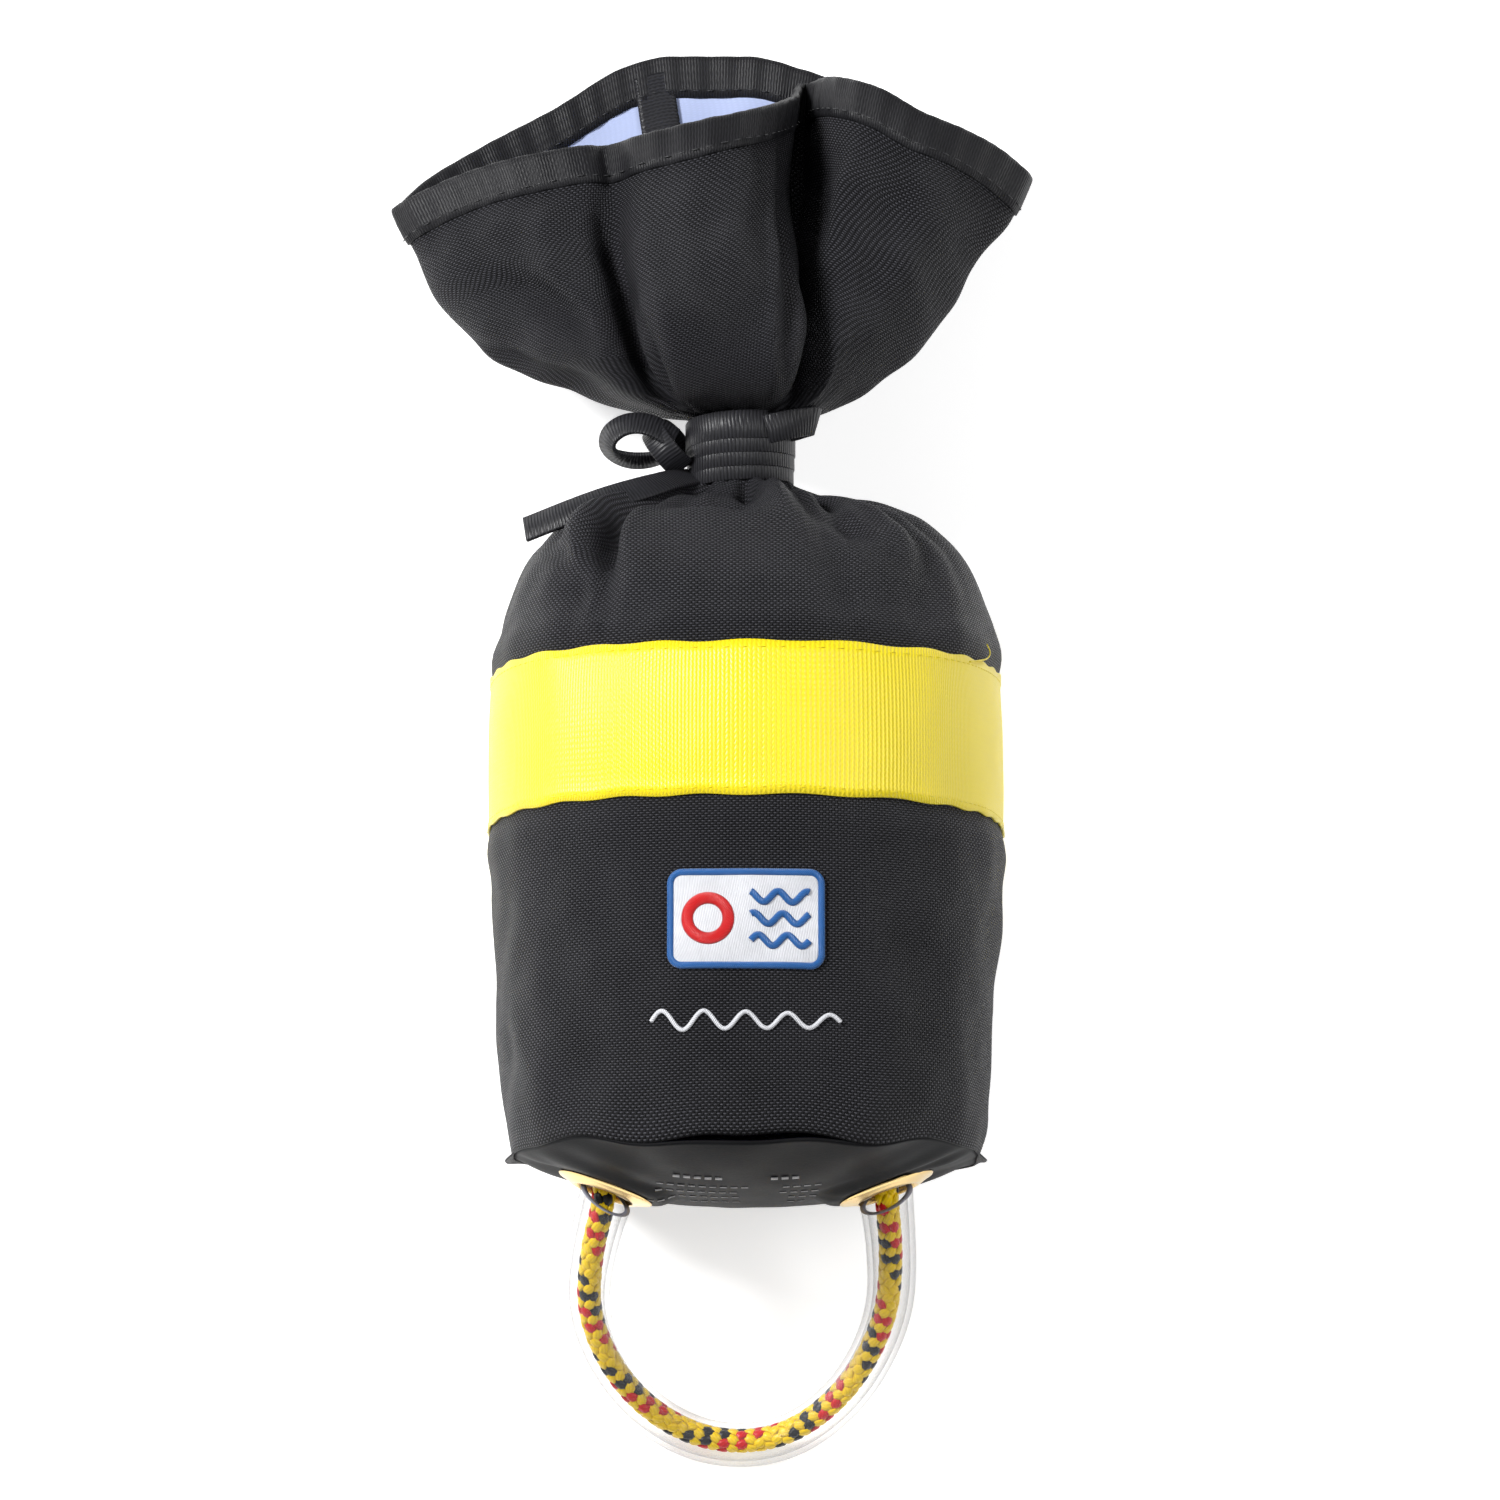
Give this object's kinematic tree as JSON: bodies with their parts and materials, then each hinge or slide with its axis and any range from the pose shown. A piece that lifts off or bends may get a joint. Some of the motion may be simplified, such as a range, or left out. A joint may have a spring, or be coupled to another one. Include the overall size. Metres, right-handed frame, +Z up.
{
  "type": "throw rope bag",
  "caption": "Round cloth rescue bag with a tied neck, a flared mouth, a reflective yellow band and a tubed rope handle; it holds a floating throw line.",
  "frame": {"origin": "on the floor under the bag's axis, at the middle of the flat that the bag lies on", "axes": "+Y along the bag towards its mouth, +Z up from the floor, +X to the right seen from above"},
  "size_m": [0.2049, 0.4644, 0.1557],
  "materials": {
    "black_cloth": "coarse coated polyester weave",
    "black_webbing": "ribbed tape",
    "yellow_webbing": "ribbed satin webbing",
    "badge_white": "satin stitch",
    "badge_blue": "satin stitch",
    "badge_red": "satin stitch",
    "white_thread": "satin stitch",
    "black_vinyl": "smooth coated cloth",
    "brass": "polished",
    "clear_tube": "clear flexible tube",
    "yellow_rope": "braided polypropylene",
    "grey_foam": "closed-cell foam"
  },
  "bodies": {
    "bag": {"yellow_band": "yellow_webbing", "side_panel": "black_cloth", "bottom_panel": "black_vinyl", "eyelet_left": "brass", "eyelet_right": "brass", "eyelet_washer_left": "brass", "eyelet_washer_right": "brass", "bottom_seam_tape": "black_webbing", "side_seam_tape": "black_webbing", "badge_ground": "badge_white", "badge_border": "badge_blue", "badge_ring": "badge_red", "badge_waves": "badge_blue", "embroidery_line": "white_thread", "rope_tail_left": "yellow_rope", "stopper_knot_left": "yellow_rope", "rope_tail_right": "yellow_rope", "stopper_knot_right": "yellow_rope", "line_lead_in": "yellow_rope", "float_disc": "grey_foam", "throw_line": "yellow_rope", "line_end_loop": "yellow_rope", "tie_wraps": "black_webbing", "tie_knot": "black_webbing", "tie_bow_left": "black_webbing", "tie_bow_right": "black_webbing", "tie_tail": "black_webbing"},
    "handle": {"handle_tube": "clear_tube", "handle_rope": "yellow_rope"},
    "mouth": {"mouth_flare": "black_cloth", "mouth_binding": "black_webbing", "mouth_seam_tape": "black_webbing"}
  },
  "joints": [
    {"name": "handle_swing", "type": "hinge", "parent": "bag", "child": "handle", "pos_m": [0, -0.08902, 0.071], "axis": [-1, 0, 0], "range_deg": [-6, 88]},
    {"name": "mouth_fold", "type": "hinge", "parent": "bag", "child": "mouth", "pos_m": [-0.002, 0.164, 0.062], "axis": [1, 0, 0], "range_deg": [0, 30]}
  ]
}
